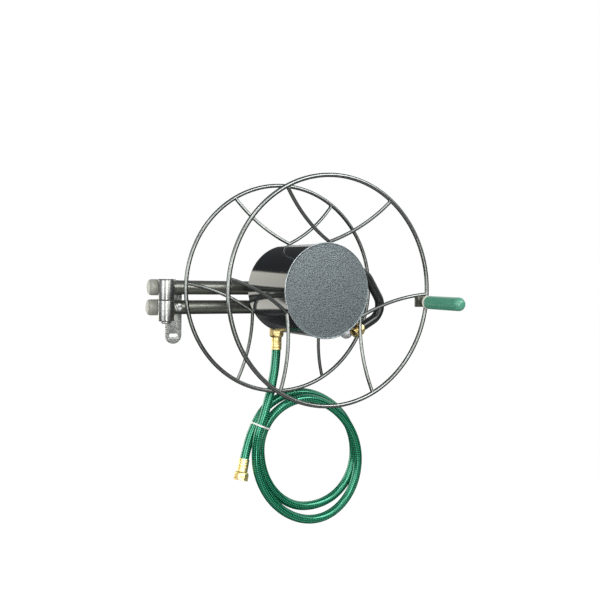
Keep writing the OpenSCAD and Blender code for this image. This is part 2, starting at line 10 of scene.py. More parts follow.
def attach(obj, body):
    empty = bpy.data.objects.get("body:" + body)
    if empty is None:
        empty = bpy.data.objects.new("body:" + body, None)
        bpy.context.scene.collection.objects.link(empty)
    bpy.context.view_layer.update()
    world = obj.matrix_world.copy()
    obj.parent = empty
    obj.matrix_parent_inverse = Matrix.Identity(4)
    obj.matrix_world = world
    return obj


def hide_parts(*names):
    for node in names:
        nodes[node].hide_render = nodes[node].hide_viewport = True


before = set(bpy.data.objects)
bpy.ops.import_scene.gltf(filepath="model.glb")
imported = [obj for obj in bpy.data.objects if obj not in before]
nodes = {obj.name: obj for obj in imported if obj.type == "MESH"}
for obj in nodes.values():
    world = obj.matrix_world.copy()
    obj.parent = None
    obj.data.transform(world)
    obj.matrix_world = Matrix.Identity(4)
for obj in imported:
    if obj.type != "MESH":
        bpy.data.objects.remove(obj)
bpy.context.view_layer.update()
scene = bpy.context.scene
mm = 0.001  # in metres
reelCentre = np.array([3.0, -213.2, 57.5])
tubes = {"rail": (-21.5, 10.5), "arm": (-29.5, 57.5)}  # the middle of each level tube: y and z
print("frame: solids loaded")

# Camera, as the photograph was taken: a little left of the reel and just above its axle.
cameraPlace = {
    "lens": 46.04,
    "sensor": 36.0,
    "clip": (0.05, 60.0),
    "right": (0.87698, -0.48025, 0.01652),
    "up": (0.0, 0.03438, 0.99941),
    "back": (-0.48053, -0.87647, 0.03015),
    "place": (-0.8588, -1.7512, 0.0871),
}


def addObject(name, data):
    # A new object with this data, in the scene.
    item = bpy.data.objects.new(name, data)
    scene.collection.objects.link(item)
    return item


def placement(right, up, back, place):
    # The columns of an object's matrix: its three axes and its place.
    turn = np.eye(4)
    turn[:3] = np.stack([right, up, back, place], axis=1)
    return Matrix(turn.tolist())


def makeCamera(spec):
    # The camera looks against its back axis.
    data = bpy.data.cameras.new("camera")
    data.lens = spec["lens"]
    data.sensor_width = spec["sensor"]
    data.clip_start, data.clip_end = spec["clip"]
    camera = addObject("camera", data)
    camera.matrix_world = placement(spec["right"], spec["up"], spec["back"], spec["place"])
    scene.camera = camera


makeCamera(cameraPlace)
print("camera: placed")


# Surfaces. Each is a grid: (points as rows x cols x 3 in mm, rows wrap, cols wrap).

mergeWithin = 2e-6  # metres


def unit(v):
    # A vector, or each of several, divided by its length.
    v = np.asarray(v, float)
    return v / np.linalg.norm(v, axis=-1, keepdims=True)


def fullTurn(steps):
    # Angles once round, without the last one, which is the first again.
    return np.linspace(0.0, 2.0 * math.pi, steps, endpoint=False)


def gridFaces(rows, cols, wrapRows, wrapCols):
    # Quads between neighbours on a rows by cols grid: (i, j), (i, j+1), (i+1, j+1), (i+1, j).
    i = np.arange(rows if wrapRows else rows - 1)[:, None]
    j = np.arange(cols if wrapCols else cols - 1)[None, :]
    nextI = (i + 1) % rows
    nextJ = (j + 1) % cols
    quads = [i * cols + j, i * cols + nextJ, nextI * cols + nextJ, nextI * cols + j]
    return np.stack([np.broadcast_to(q, (i.size, j.size)) for q in quads], axis=-1).reshape(-1, 4)


def makePiece(name, grids, sharp=35.0):
    # The grids in one mesh. Rows that meet in one point become a pole, flat ends are closed, and the faces
    # are turned outwards. Edges past sharp degrees stay crisp.
    mesh = bpy.data.meshes.new(name)
    allPoints = []
    allFaces = []
    start = 0
    for points, wrapRows, wrapCols in grids:
        rows, cols = points.shape[:2]
        allPoints.append(points.reshape(-1, 3))
        allFaces.append(gridFaces(rows, cols, wrapRows, wrapCols) + start)
        start += rows * cols
    mesh.from_pydata((np.concatenate(allPoints) * mm).tolist(), [], np.concatenate(allFaces).tolist())
    build = bmesh.new()
    build.from_mesh(mesh)
    bmesh.ops.remove_doubles(build, verts=build.verts, dist=mergeWithin)
    openEdges = [e for e in build.edges if e.is_boundary]
    if openEdges:
        bmesh.ops.holes_fill(build, edges=openEdges)
    bmesh.ops.recalc_face_normals(build, faces=build.faces)
    build.to_mesh(mesh)
    build.free()
    mesh.shade_smooth()
    mesh.set_sharp_from_angle(angle=math.radians(sharp))
    return addObject(name, mesh)


def aroundAxis(axis):
    # Two directions square to the axis and to each other, both from cross products.
    axis = unit(axis)
    nearlyUpright = 0.9
    guide = np.array([0.0, 0.0, 1.0]) if abs(axis[2]) < nearlyUpright else np.array([1.0, 0.0, 0.0])
    u = unit(np.cross(guide, axis))
    return u, np.cross(axis, u)


def lathe(profile, origin, axis, sides, wave=None, closed=False):
    # A profile of (t along the axis, radius r) turned about it: origin + t*axis + r*(cos a*u + sin a*v).
    # wave(t, r, a) gives a new radius, for lugs, hexagons and threads. A closed profile ends where it starts.
    profile = np.asarray(profile, float)
    axis = unit(axis)
    u, v = aroundAxis(axis)
    a = fullTurn(sides)[None, :]
    t = profile[:, 0][:, None]
    r = profile[:, 1][:, None] + 0.0 * a
    if wave is not None:
        r = wave(t, r, a)
    ring = np.cos(a)[..., None] * u + np.sin(a)[..., None] * v
    return np.asarray(origin, float) + t[..., None] * axis + r[..., None] * ring, closed, True


def level(low, high, count, radius):
    # A level stretch of a profile: evenly spaced points at one radius.
    return np.stack([np.linspace(low, high, count), np.full(count, radius)], axis=1)


def hexWave(span, flat):
    # Between the two ends of span the radius follows a hexagon: r = flat / cos(a to the middle of its side).
    def wave(t, r, a):
        side = np.mod(a, math.pi / 3.0) - math.pi / 6.0
        inHex = (t >= span[0]) & (t <= span[1]) & (r > flat)
        return np.where(inHex, np.minimum(r, flat / np.cos(side)), r)
    return wave


def tubeAlong(line, radius, sides):
    # A round tube: at each point of the line a circle of that radius, square to the line.
    along = unit(np.gradient(line, axis=0))
    u = unit(np.cross(along, [0.0, 1.0, 0.0]))
    v = np.cross(u, along)
    a = fullTurn(sides)
    ring = np.cos(a)[None, :, None] * u[:, None, :] + np.sin(a)[None, :, None] * v[:, None, :]
    return line[:, None, :] + radius * ring, False, True


def wayAlong(line):
    # The distance from the line's start to each of its points, along the line.
    return np.concatenate([[0.0], np.cumsum(np.linalg.norm(np.diff(line, axis=0), axis=1))])


def smoothLine(points, every):
    # Natural cubic spline through the points, timed by the chords between them, and read at even steps of its
    # length. m is the second slope at each point, from the usual three-banded system.
    p = np.asarray(points, float)
    t = wayAlong(p)
    h = np.diff(t)
    n = len(t)
    i = np.arange(1, n - 1)
    system = np.zeros((n, n))
    system[0, 0] = 1.0
    system[-1, -1] = 1.0
    system[i, i - 1] = h[:-1]
    system[i, i] = 2.0 * (h[:-1] + h[1:])
    system[i, i + 1] = h[1:]
    slope = np.diff(p, axis=0) / h[:, None]
    right = np.zeros((n, 3))
    right[1:-1] = 6.0 * np.diff(slope, axis=0)
    m = np.linalg.solve(system, right)
    finePerPoint = 30
    fine = np.linspace(0.0, t[-1], n * finePerPoint)
    k = np.clip(np.searchsorted(t, fine, side="right") - 1, 0, n - 2)
    x = (fine - t[k])[:, None]
    hk = h[k][:, None]
    line = p[k] + x * (slope[k] - hk * (2.0 * m[k] + m[k + 1]) / 6.0)
    line = line + x ** 2 * m[k] / 2.0 + x ** 3 * (m[k + 1] - m[k]) / (6.0 * hk)
    run = wayAlong(line)
    steps = np.linspace(0.0, run[-1], int(round(run[-1] / every)) + 1)
    return np.stack([np.interp(steps, run, line[:, c]) for c in range(3)], axis=1)


def roundedProfile(corners, radii, steps):
    # A profile through the corners, each one rounded by the curve (1-w)^2*a + 2w(1-w)*corner + w^2*b between
    # the points a and b, which lie its radius before and after it, or nearly half way on a short side.
    corners = np.asarray(corners, float)
    mostShare = 0.49
    out = [corners[:1]]
    w = np.linspace(0.0, 1.0, steps)[:, None]
    for k in range(1, len(corners) - 1):
        before, here, after = corners[k - 1], corners[k], corners[k + 1]
        a = here + unit(before - here) * min(radii[k], mostShare * np.linalg.norm(before - here))
        b = here + unit(after - here) * min(radii[k], mostShare * np.linalg.norm(after - here))
        out.append((1.0 - w) ** 2 * a + 2.0 * w * (1.0 - w) * here + w ** 2 * b)
    out.append(corners[-1:])
    return np.concatenate(out)


# Weld beads: the points round one and along each of its ripples, and how deep the ripples and the slower
# sway are, as shares of its thickness.
beads = {
    "sides": 12,
    "pointsPerRipple": 6,
    "ringRipple": 0.13,
    "loopRipple": 0.12,
    "sway": 0.08,
}


def weldRing(centre, axis, radius, bead, ripples, seed):
    # A weld bead round a joint: a ring whose thickness swells and shrinks a little as the welder moved on,
    # thick = bead * (1 + ripple*cos(ripples*a) + sway*sin(3a)).
    u, v = aroundAxis(axis)
    a = fullTurn(beads["pointsPerRipple"] * ripples)[:, None]
    b = fullTurn(beads["sides"])[None, :]
    ripple = beads["ringRipple"] * np.cos(ripples * a + seed)
    thick = bead * (1.0 + ripple + beads["sway"] * np.sin(3.0 * a + 2.0 * seed))
    out = radius + thick * np.cos(b)
    ring = np.cos(a)[..., None] * u + np.sin(a)[..., None] * v
    points = np.asarray(centre, float) + out[..., None] * ring + (thick * np.sin(b))[..., None] * unit(axis)
    return points, True, True


def weldLoop(line, guide, bead, ripples):
    # A weld bead along a closed line: a circle carried round it, whose radius ripples as weldRing's does.
    along = unit(np.roll(line, -1, axis=0) - np.roll(line, 1, axis=0))
    side = unit(np.cross(along, guide))
    up = np.cross(side, along)
    s = fullTurn(len(line))[:, None]
    a = fullTurn(beads["sides"])[None, :]
    thick = bead * (1.0 + beads["loopRipple"] * np.cos(ripples * s) + beads["sway"] * np.sin(3.0 * s + 1.0))
    across = (thick * np.cos(a))[..., None] * side[:, None, :]
    return line[:, None, :] + across + (thick * np.sin(a))[..., None] * up[:, None, :], True, True


# How far two faces may lean, in degrees, and still be one flat side, and past what angle an edge is a corner.
softening = {"flatWithin": 1.0, "cornerPast": 35.0, "segments": 2}


def softened(name, node, width):
    # A copy of a solid whose corners are broken by width mm, as paint or casting leaves them. Its loose
    # triangles are merged and its flat sides made one face each before the bevel.
    flatWithin = math.radians(softening["flatWithin"])
    mesh = nodes[node].data.copy()
    mesh.name = name
    build = bmesh.new()
    build.from_mesh(mesh)
    bmesh.ops.remove_doubles(build, verts=build.verts, dist=mergeWithin)
    bmesh.ops.dissolve_limit(build, angle_limit=flatWithin, verts=build.verts, edges=build.edges)
    bmesh.ops.recalc_face_normals(build, faces=build.faces)
    build.to_mesh(mesh)
    build.free()
    mesh.shade_smooth()
    piece = addObject(name, mesh)
    bevel = piece.modifiers.new("edges", "BEVEL")
    bevel.width = width * mm
    bevel.segments = softening["segments"]
    bevel.limit_method = "ANGLE"
    bevel.angle_limit = math.radians(softening["cornerPast"])
    bevel.harden_normals = True
    return piece


def settle(piece, body, slotName, material, *stands):
    # The piece rides on its body, takes its finish and stands for the solids that are named.
    piece.data.materials.clear()
    piece.data.materials.append(material)
    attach(piece, body)
    if stands:
        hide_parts(*stands)


# Materials. Colours are written as sRGB hex, and every pattern is set out from a size in mm.

def linear(colour):
    # sRGB hex to linear light: c / 12.92 in the darkest part, and ((c + 0.055) / 1.055) ^ 2.4 above it.
    parts = np.array([int(colour[k:k + 2], 16) for k in (1, 3, 5)]) / 255.0
    low = parts / 12.92
    high = ((parts + 0.055) / 1.055) ** 2.4
    return (*np.where(parts <= 0.04045, low, high).tolist(), 1.0)


def perMetre(size):
    # A pattern's scale from the size of one of its cells in mm.
    return 1000.0 / size


def addNode(tree, kind, settings=None, links=None):
    # One node, with its settings or the values of its inputs, and what its inputs are joined to.
    node = tree.nodes.new(kind)
    for key, value in (settings or {}).items():
        if isinstance(key, int) or key in node.inputs:
            node.inputs[key].default_value = value
        else:
            setattr(node, key, value)
    for key, source in (links or {}).items():
        tree.links.new(source, node.inputs[key])
    return node


def emptyTree(owner):
    # The node tree of a material or a world, with no nodes in it.
    owner.use_nodes = True
    owner.node_tree.nodes.clear()
    return owner.node_tree


def startMaterial(name):
    # A material whose shader is joined to its output, and the place on the piece that its patterns read.
    material = bpy.data.materials.new(name)
    tree = emptyTree(material)
    shader = addNode(tree, "ShaderNodeBsdfPrincipled")
    addNode(tree, "ShaderNodeOutputMaterial", None, {"Surface": shader.outputs["BSDF"]})
    place = addNode(tree, "ShaderNodeTexCoord").outputs["Object"]
    return material, tree, shader, place


def finishSurface(tree, shader, look, tone, wear, relief):
    # Colour runs from the first to the second with tone, roughness from its low to its high value with wear,
    # and relief stands up by depth mm.
    first, second = look["colours"]
    low, high = look["rough"]
    mixed = {"data_type": "RGBA", 6: linear(first), 7: linear(second)}
    colour = addNode(tree, "ShaderNodeMix", mixed, {0: tone}).outputs[2]
    rough = addNode(tree, "ShaderNodeMapRange", {"To Min": low, "To Max": high}, {"Value": wear})
    height = {"Strength": look["bump"], "Distance": look["depth"] * mm}
    bump = addNode(tree, "ShaderNodeBump", height, {"Height": relief})
    tree.links.new(colour, shader.inputs["Base Color"])
    tree.links.new(rough.outputs["Result"], shader.inputs["Roughness"])
    tree.links.new(bump.outputs[0], shader.inputs["Normal"])
    return colour


# The dimples' outlines are pushed about by a share of a cell, softened, and joined by finer specks. The
# span tone takes the colour from painted shade in the hollows to painted glints on the raised grains.
hammering = {
    "warpCells": 2.0,
    "push": 0.8,
    "softness": 0.6,
    "specks": 0.55,
    "tone": (0.35, 0.85),
}


def hammeredEnamel(name, look):
    # Hammered enamel sprayed on steel: shallow dimples that break each highlight into fine bright specks.
    # Pattern = distance to the nearest dimple's middle + 0.55 * fine noise. The colour follows that relief,
    # with painted shade in the hollows and painted glints on the raised grains. "edge" tints the gloss at a
    # grazing look, which on thin wire keeps its rims from turning white.
    material, tree, shader, place = startMaterial(name)
    cell = look["cell"]
    wide = {"Scale": perMetre(cell * hammering["warpCells"]), "Detail": 2.0}
    warp = addNode(tree, "ShaderNodeTexNoise", wide, {"Vector": place})
    share = {"operation": "SCALE", "Scale": cell * hammering["push"] * mm}
    push = addNode(tree, "ShaderNodeVectorMath", share, {0: warp.outputs["Color"]})
    moved = addNode(tree, "ShaderNodeVectorMath", {"operation": "ADD"}, {0: place, 1: push.outputs[0]})
    dimple = {"feature": "SMOOTH_F1", "Scale": perMetre(cell), "Smoothness": hammering["softness"]}
    cells = addNode(tree, "ShaderNodeTexVoronoi", dimple, {"Vector": moved.outputs[0]})
    fine = {"Scale": perMetre(look["speck"]), "Detail": 3.0}
    speck = addNode(tree, "ShaderNodeTexNoise", fine, {"Vector": place}).outputs["Fac"]
    join = {"operation": "MULTIPLY_ADD", 1: hammering["specks"]}
    both = addNode(tree, "ShaderNodeMath", join, {0: speck, 2: cells.outputs["Distance"]}).outputs[0]
    low, high = hammering["tone"]
    # the colour follows the relief: painted shade in the hollows, painted glints on the ridges and specks
    tone = addNode(tree, "ShaderNodeMapRange", {"From Min": low, "From Max": high}, {"Value": both})
    shader.inputs["Metallic"].default_value = look["metal"]
    shader.inputs["Specular Tint"].default_value = linear(look["edge"])
    finishSurface(tree, shader, look, tone.outputs[0], speck, both)
    return material


def glossEnamel(name, look):
    # Gloss enamel on rolled steel: near black, a mirror in the highlights, with a faint orange peel and dust.
    material, tree, shader, place = startMaterial(name)
    orange = {"Scale": perMetre(look["peel"]), "Detail": 1.0}
    peel = addNode(tree, "ShaderNodeTexNoise", orange, {"Vector": place}).outputs["Fac"]
    dust = {"Scale": perMetre(look["cloud"]), "Detail": 4.0}
    cloud = addNode(tree, "ShaderNodeTexNoise", dust, {"Vector": place}).outputs["Fac"]
    shader.inputs["Metallic"].default_value = look["metal"]
    shader.inputs["IOR"].default_value = 1.5
    finishSurface(tree, shader, look, cloud, cloud, peel)
    return material


dullPatches = (0.36, 0.66)  # the part of the patches' noise over which clean metal turns dull


def workedMetal(name, look):
    # Bare metal: brass turned on a lathe or zinc plate, with fine marks and duller patches.
    material, tree, shader, place = startMaterial(name)
    fine = {"Scale": perMetre(look["grain"]), "Detail": 3.0}
    marks = addNode(tree, "ShaderNodeTexNoise", fine, {"Vector": place}).outputs["Fac"]
    wide = {"Scale": perMetre(look["patch"]), "Detail": 4.0}
    patch = addNode(tree, "ShaderNodeTexNoise", wide, {"Vector": place}).outputs["Fac"]
    low, high = dullPatches
    tone = addNode(tree, "ShaderNodeMapRange", {"From Min": low, "From Max": high}, {"Value": patch})
    shader.inputs["Metallic"].default_value = look["metal"]
    finishSurface(tree, shader, look, tone.outputs[0], patch, marks)
    return material


def mouldedPlastic(name, look):
    # Moulded plastic: even colour, a fine satin texture from the mould and slightly worn, shinier high spots.
    material, tree, shader, place = startMaterial(name)
    fine = {"Scale": perMetre(look["grain"]), "Detail": 2.0}
    grain = addNode(tree, "ShaderNodeTexNoise", fine, {"Vector": place}).outputs["Fac"]
    wide = {"Scale": perMetre(look["rub"]), "Detail": 3.0}
    rub = addNode(tree, "ShaderNodeTexNoise", wide, {"Vector": place}).outputs["Fac"]
    shader.inputs["IOR"].default_value = 1.5
    finishSurface(tree, shader, look, rub, rub, grain)
    return material


def knittedHose(name, look):
    # Clear green PVC over a knitted yarn sleeve: rows of short bright stitches under a glossy skin. The
    # pattern follows the hose's own map, which holds the way along the hose and round it in metres. A real
    # stitch is smaller than the picture can hold, so it is drawn coarser, where both ripples are high.
    material, tree, shader, place = startMaterial(name)
    way = addNode(tree, "ShaderNodeUVMap", {"uv_map": "alongHose"}).outputs["UV"]
    parts = addNode(tree, "ShaderNodeSeparateXYZ", None, {0: way})

    def ripple(source, pitch):
        # 0 to 1 and back over each pitch of so many mm: 0.5 + 0.5 * sin(2 pi * source / pitch).
        turns = {"operation": "MULTIPLY", 1: 2.0 * math.pi * perMetre(pitch)}
        angle = addNode(tree, "ShaderNodeMath", turns, {0: source})
        sine = addNode(tree, "ShaderNodeMath", {"operation": "SINE"}, {0: angle.outputs[0]})
        half = {"operation": "MULTIPLY_ADD", 1: 0.5, 2: 0.5}
        return addNode(tree, "ShaderNodeMath", half, {0: sine.outputs[0]}).outputs[0]

    rib = ripple(parts.outputs[0], look["stitch"])
    wale = ripple(parts.outputs[1], look["wale"])
    cross = addNode(tree, "ShaderNodeMath", {"operation": "MULTIPLY"}, {0: rib, 1: wale}).outputs[0]
    low, high = look["stitchShows"]
    soft = {"interpolation_type": "SMOOTHSTEP", "From Min": low, "From Max": high}
    stitch = addNode(tree, "ShaderNodeMapRange", soft, {"Value": cross}).outputs[0]
    wide = {"Scale": perMetre(look["patch"]), "Detail": 3.0}
    patch = addNode(tree, "ShaderNodeTexNoise", wide, {"Vector": place}).outputs["Fac"]
    body = finishSurface(tree, shader, look, patch, rib, cross)
    over = {"data_type": "RGBA", 7: linear(look["yarn"])}  # the yarn's colour lies over the body's
    yarn = addNode(tree, "ShaderNodeMix", over, {0: stitch, 6: body})
    tree.links.new(yarn.outputs[2], shader.inputs["Base Color"])
    shader.inputs["IOR"].default_value = look["ior"]
    shader.inputs["Specular IOR Level"].default_value = 1.0
    shader.inputs["Specular Tint"].default_value = linear(look["sheen"])
    return material


# Each finish is named for its part and its real material, and its note says what the eye gets from it.
# Metal and roughness start from what such a material has, and were then matched to the object.
finishes = {
    "frame": hammeredEnamel("steelTubeHammeredEnamel", {  # mid grey pipes, each highlight a band of specks
        "colours": ("#5d5f5a", "#7e8079"), "edge": "#ffffff", "metal": 0.95, "rough": (0.3, 0.44),
        "cell": 3.0, "speck": 1.3, "bump": 0.4, "depth": 0.2}),
    "plate": hammeredEnamel("steelPlateHammeredEnamel", {  # painted glints on grains, painted shade in hollows
        "colours": ("#434645", "#b8bbb9"), "edge": "#ffffff", "metal": 0.6, "rough": (0.32, 0.46),
        "cell": 3.0, "speck": 2.2, "bump": 0.9, "depth": 0.3}),
    "barrel": hammeredEnamel("hingeBarrelSilverEnamel", {  # silver and smoother, with sharper highlights
        "colours": ("#747677", "#a2a4a3"), "edge": "#ffffff", "metal": 1.0, "rough": (0.21, 0.35),
        "cell": 2.8, "speck": 1.6, "bump": 0.25, "depth": 0.2}),
    "disc": hammeredEnamel("frontDiscHammeredEnamel", {  # near-black painted shade in hollows, pale cool painted glints
        "colours": ("#000609", "#788286"), "edge": "#ffffff", "metal": 0.65, "rough": (0.24, 0.38),
        "cell": 2.3, "speck": 2.1, "bump": 1.0, "depth": 0.35}),
    "rim": hammeredEnamel("discRimWornPaintedHighlightEnamel", {  # the rolled edge, lighter: worn paint and painted highlight
        "colours": ("#8a9295", "#a6adb0"), "edge": "#ffffff", "metal": 0.8, "rough": (0.19, 0.33),
        "cell": 2.5, "speck": 1.7, "bump": 0.3, "depth": 0.2}),
    "wire": hammeredEnamel("steelWireHammeredEnamel", {  # one thin bright line along each dark wire
        "colours": ("#626664", "#808482"), "edge": "#6c706e", "metal": 1.0, "rough": (0.14, 0.28),
        "cell": 2.6, "speck": 1.4, "bump": 0.15, "depth": 0.12}),
    "shell": glossEnamel("rolledDrumGlossEnamel", {  # near black, with the studio in long bands
        "colours": ("#141719", "#1b1f21"), "metal": 0.0, "rough": (0.06, 0.16), "peel": 5.0, "cloud": 60.0,
        "bump": 0.12, "depth": 0.15}),
    "pipe": glossEnamel("bentPipeGlossEnamel", {  # near black, its highlights softer than the drum's
        "colours": ("#1f2323", "#2c3030"), "metal": 0.15, "rough": (0.16, 0.26), "peel": 4.0, "cloud": 30.0,
        "bump": 0.2, "depth": 0.15}),
    "cap": mouldedPlastic("tubeCapPolyethylene", {  # warm grey and satin, a little worn
        "colours": ("#8c8d85", "#999a91"), "rough": (0.36, 0.48), "grain": 0.8, "rub": 14.0,
        "bump": 0.12, "depth": 0.08}),
    "grip": mouldedPlastic("crankGripPolypropylene", {  # soft green with a satin shine
        "colours": ("#498d75", "#559b83"), "rough": (0.2, 0.32), "grain": 0.7, "rub": 22.0,
        "bump": 0.15, "depth": 0.08}),
    "bush": mouldedPlastic("bushAcetal", {  # creamy white, hardly glossy
        "colours": ("#d8d4c8", "#e6e2d8"), "rough": (0.32, 0.44), "grain": 0.7, "rub": 9.0,
        "bump": 0.1, "depth": 0.05}),
    "tie": mouldedPlastic("tieStrapNylon", {  # plain white
        "colours": ("#e6e7e2", "#f4f5f1"), "rough": (0.29, 0.41), "grain": 0.6, "rub": 6.0,
        "bump": 0.1, "depth": 0.05}),
    "seal": mouldedPlastic("sealNitrileRubber", {  # black and dull
        "colours": ("#101010", "#1a1a1a"), "rough": (0.54, 0.66), "grain": 0.5, "rub": 5.0,
        "bump": 0.2, "depth": 0.06}),
    "brass": workedMetal("couplingTurnedBrass", {  # pale gold, bright from the lathe
        "colours": ("#fff3b6", "#f2cf80"), "metal": 1.0, "rough": (0.28, 0.48), "grain": 0.5, "patch": 9.0,
        "bump": 0.15, "depth": 0.05}),
    "oldBrass": workedMetal("fittingCastBrass", {  # deeper gold, dulled by handling
        "colours": ("#f4e2a8", "#dcc07c"), "metal": 1.0, "rough": (0.26, 0.46), "grain": 0.7, "patch": 7.0,
        "bump": 0.25, "depth": 0.08}),
    "zinc": workedMetal("fastenerZincPlate", {  # cool pale grey, cloudy where it has dulled
        "colours": ("#c4c6c6", "#9fa1a0"), "metal": 1.0, "rough": (0.26, 0.46), "grain": 0.5, "patch": 6.0,
        "bump": 0.15, "depth": 0.05}),
    "hose": knittedHose("leaderHosePvc", {  # deep green under gloss, with bright stitches
        "colours": ("#002a1c", "#00462f"), "yarn": "#30b080", "sheen": "#8cf0cc", "ior": 1.75,
        "stitch": 5.2, "wale": 5.76, "stitchShows": (0.3, 0.75), "patch": 50.0, "rough": (0.15, 0.25),
        "bump": 0.1, "depth": 0.3}),
}
print("materials:", len(finishes))

# Leader hose: one tube from the inlet nut, round the two loops, to the coupling at its free end. Its route is
# the solids' own.
hose = {
    "diameter": 22.0,
    "drop": [(3, -61.2, -71.5), (3, -61.2, -95.5), (1, -62, -122), (-3, -64, -148), (-9, -67, -172),
             (-16, -71, -196), (-25, -75, -220), (-34, -78, -246), (-43, -79, -272), (-51, -78, -298)],
    "tail": [(51, -52, -207), (31, -52, -211), (5, -52, -222), (-15, -52, -235), (-30, -52, -250),
             (-42, -52, -268), (-51, -52, -286), (-59, -52, -304), (-66, -53, -324), (-73, -55, -346),
             (-78.5, -57.5, -364), (-83, -60, -381)],
    "middle": (91.0, -367.0),
    "half": (147.5, 161.5),
    "lean": 20.0,
    "turn": (165.0, 810.0),  # degrees, from the first point of the coil to its last
    "size": 0.98,  # at the start, and then each change with the degrees that it is spread over
    "sizeSteps": [(0.025, 230, 290), (-0.08, 350, 430), (-0.105, 435, 555), (0.22, 628, 738),
                  (-0.04, 740, 790)],
    "depth": (-75.0, -52.0),  # y before and after the crossing
    "crossing": (450, 530),  # degrees
    "coilSteps": 43,
    "ringEvery": 2.5,
    "sides": 36,
    "sharp": 50.0,
}


def hoseLine(spec):
    # The two loops are a leaning ellipse, x = size * (half*cos - lean*sin) and z = size * half*sin, whose
    # size changes by eased steps on the way round and which crosses to the back once. The drop and the tail
    # are points.
    a = np.linspace(*spec["turn"], spec["coilSteps"] + 1)

    def ease(low, high):
        t = np.clip((a - low) / (high - low), 0.0, 1.0)
        return t * t * (3.0 - 2.0 * t)

    size = spec["size"]
    for change, low, high in spec["sizeSteps"]:
        size = size + change * ease(low, high)
    r = np.radians(a)
    coil = np.stack([
        spec["middle"][0] + size * (spec["half"][0] * np.cos(r) - spec["lean"] * np.sin(r)),
        spec["depth"][0] + (spec["depth"][1] - spec["depth"][0]) * ease(*spec["crossing"]),
        spec["middle"][1] + spec["half"][1] * size * np.sin(r),
    ], axis=1)
    return smoothLine(np.concatenate([spec["drop"], coil, spec["tail"]]), spec["ringEvery"])


def makeHose(spec, line):
    # A closed tube along the line, with a map that holds the way along the hose and round it in metres.
    points = tubeAlong(line, spec["diameter"] / 2.0, spec["sides"])[0]
    rows, cols = points.shape[:2]
    faces = gridFaces(rows, cols, False, True)
    ends = [list(range(cols)), list(range((rows - 1) * cols, rows * cols))[::-1]]
    mesh = bpy.data.meshes.new("leaderHose")
    mesh.from_pydata((points.reshape(-1, 3) * mm).tolist(), [], faces.tolist() + ends)
    run = wayAlong(line) * mm
    way = np.arange(cols + 1) * math.pi * spec["diameter"] * mm / cols
    i = np.arange(rows - 1)[:, None]
    j = np.arange(cols)[None, :]
    corners = [(i, j), (i, j + 1), (i + 1, j + 1), (i + 1, j)]
    quads = [np.stack(np.broadcast_arrays(run[p], way[q]), axis=-1) for p, q in corners]
    uvs = np.stack(quads, axis=2).reshape(-1, 2)
    uvs = np.concatenate([uvs, np.zeros((2 * cols, 2))])
    layer = mesh.uv_layers.new(name="alongHose")
    layer.data.foreach_set("uv", uvs.ravel())
    build = bmesh.new()
    build.from_mesh(mesh)
    bmesh.ops.recalc_face_normals(build, faces=build.faces)
    build.to_mesh(mesh)
    build.free()
    mesh.shade_smooth()
    mesh.set_sharp_from_angle(angle=math.radians(spec["sharp"]))
    piece = addObject("leaderHose", mesh)
    settle(piece, "swing_arm", "hose_green", finishes["hose"], "leader_drop", "leader_coil", "leader_tail")
    return piece


leaderLine = hoseLine(hose)
leaderHose = makeHose(hose, leaderLine)

# Hose couplings: a crimped ferrule, and a turning nut with lugs. Profiles are (distance from the hose's end
# face, radius), and a wall or a bore is (from, to, points, radius).
coupling = {
    "ferruleStart": [(-22.2, 11.1), (-22.2, 12.7), (-21.2, 12.95)],
    "ferruleWall": (-20.8, 7.6, 58, 12.95),
    "ferruleEnd": [(8.0, 12.95), (8.6, 12.2), (8.6, 7.2), (8.0, 7.0)],
    "crimps": [-17.0, -10.5, -4.0],
    "crimpWidth": 1.1,
    "crimpDepth": 0.3,
    "crimpPast": 12.4,
    "dents": 24,
    "dentDepth": 0.12,
    "nutStart": [(8.3, 9.95), (8.3, 13.4), (9.2, 14.8), (11.6, 16.6), (13.0, 17.1)],
    "nutWall": (13.2, 27.2, 24, 17.1),
    "nutLip": [(27.4, 17.1), (28.6, 17.7), (29.0, 17.4), (29.1, 16.2), (28.4, 14.9), (27.6, 13.6)],
    "nutBore": (27.2, 18.7, 40, 13.5),
    "nutEnd": [(18.2, 13.5), (18.0, 9.95)],
    "lugs": 8,
    "lugHeight": 1.3,
    "lugSpan": (13.0, 27.8),
    "lugSlope": (2.0, 1.6),
    "lugPast": 15.5,
    "threadPitch": 2.2,
    "threadDepth": 0.55,
    "threadRadius": (12.0, 13.55),
    "threadFrom": 18.6,
}


def crimpedFerrule(spec):
    # The outer wall dips by 0.3 mm in a narrow ring at each crimp, and that dip is dented 24 times round:
    # r - e^-((t - crimp) / width)^2 * (depth + dent*cos(24a)).
    def wave(t, r, a):
        dip = sum(np.exp(-((t - crimp) / spec["crimpWidth"]) ** 2) for crimp in spec["crimps"])
        dents = spec["dentDepth"] * np.cos(spec["dents"] * a)
        return np.where(r > spec["crimpPast"], r - dip * (spec["crimpDepth"] + dents), r)
    profile = np.concatenate([spec["ferruleStart"], level(*spec["ferruleWall"]), spec["ferruleEnd"]])
    return profile, wave


